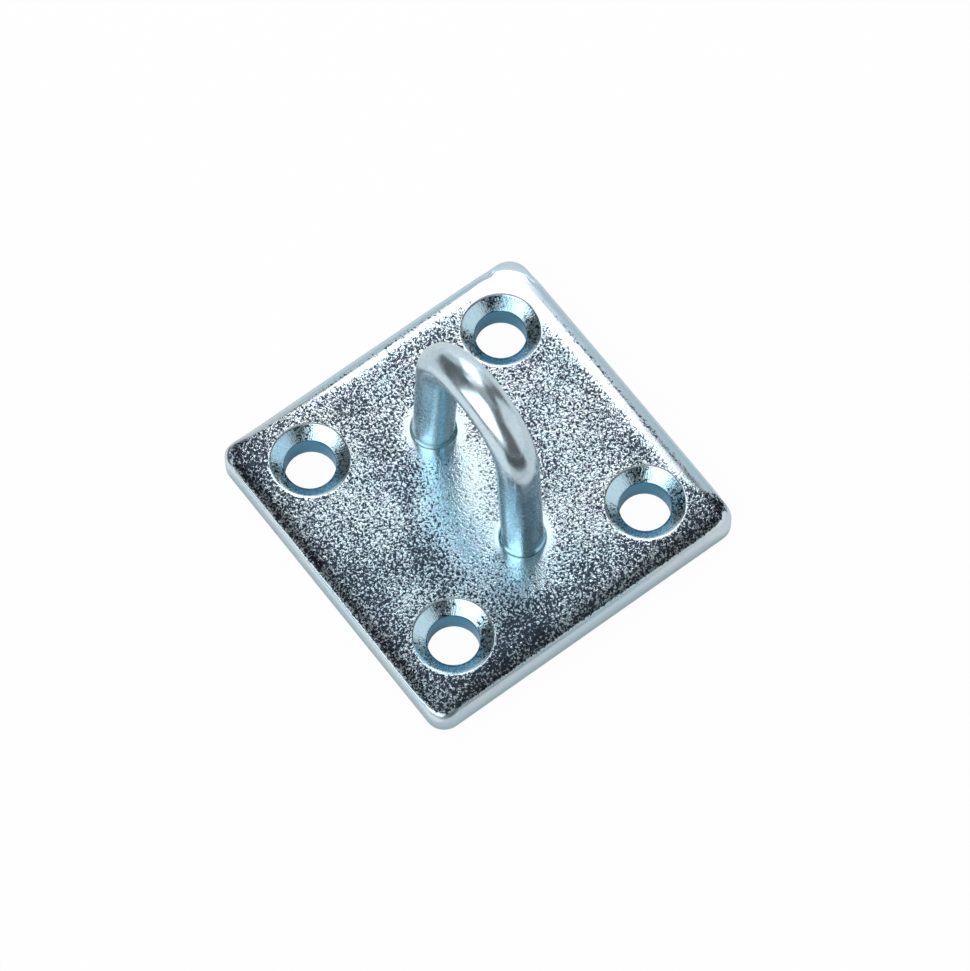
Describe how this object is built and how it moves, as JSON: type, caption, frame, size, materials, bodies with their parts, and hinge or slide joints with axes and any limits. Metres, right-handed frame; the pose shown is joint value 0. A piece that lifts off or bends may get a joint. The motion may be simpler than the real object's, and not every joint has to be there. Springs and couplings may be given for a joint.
{
  "type": "eye plate",
  "caption": "Square screw-down plate with a fixed bow of round bar riveted through it: an anchor point for a hook, shackle, cord or padlock.",
  "frame": {"origin": "middle of the plate's back face, which lies on the surface it is screwed to", "axes": "+Z out of the surface, through the top of the bow; X along the line of the two legs; Y through the eye"},
  "size_m": [0.05, 0.05, 0.0366],
  "materials": {
    "plate_zinc": "zinc plated steel with a blue passivate, fine bright grain on the pressed faces",
    "bar_zinc": "zinc plated steel with a blue passivate, smooth satin"
  },
  "bodies": {
    "root": {"base_plate": "plate_zinc", "staple": "bar_zinc"}
  },
  "joints": []
}
